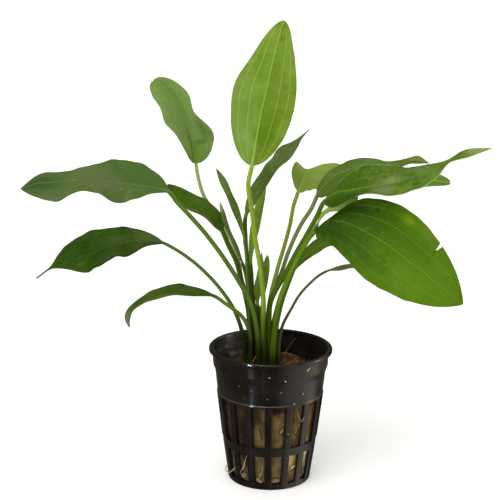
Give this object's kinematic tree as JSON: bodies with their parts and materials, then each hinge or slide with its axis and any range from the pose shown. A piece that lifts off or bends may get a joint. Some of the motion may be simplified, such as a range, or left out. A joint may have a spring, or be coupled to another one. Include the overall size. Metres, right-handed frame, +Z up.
{
  "type": "potted echinodorus",
  "caption": "Aquarium sword plant: a rosette of stalked oval leaves rooted in a rockwool plug, standing in a black slotted net pot.",
  "frame": {"origin": "middle of the pot's underside, on the pot's axis, where it stands", "axes": "+Z up along the pot's axis; +X to the right and -Y towards the viewer, as the plant's front is seen"},
  "size_m": [0.1936, 0.0982, 0.201],
  "materials": {
    "pot": "moulded black plastic, satin, slightly dusty",
    "rockwool": "damp matted mineral fibre, olive tan with brown stains",
    "rhizome": "dull olive brown rhizome",
    "leaf_bright": "bright yellow-green leaf underside, soft satin",
    "leaf_mid": "mid green leaf, satin, with paler long veins",
    "leaf_dark": "deep green leaf, satin",
    "leaf_pale": "pale green leaf underside, matt"
  },
  "bodies": {
    "root": {"pot": "pot", "rockwool": "rockwool", "crown": "rhizome", "leaf_top": "leaf_bright", "leaf_upper_left": "leaf_mid", "leaf_long_left": "leaf_mid", "leaf_short_dark": "leaf_dark", "leaf_low_left": "leaf_dark", "leaf_curled": "leaf_mid", "leaf_rolled": "leaf_dark", "leaf_spear_pale": "leaf_dark", "leaf_behind_top": "leaf_dark", "leaf_narrow_back": "leaf_mid", "leaf_young_right": "leaf_dark", "leaf_young_mid": "leaf_dark", "leaf_pale_back": "leaf_pale", "leaf_upper_right": "leaf_dark", "leaf_long_right": "leaf_mid", "leaf_strip": "leaf_pale", "leaf_big_right": "leaf_mid", "leaf_behind_big": "leaf_dark", "leaf_thin_right": "leaf_dark"}
  },
  "joints": []
}
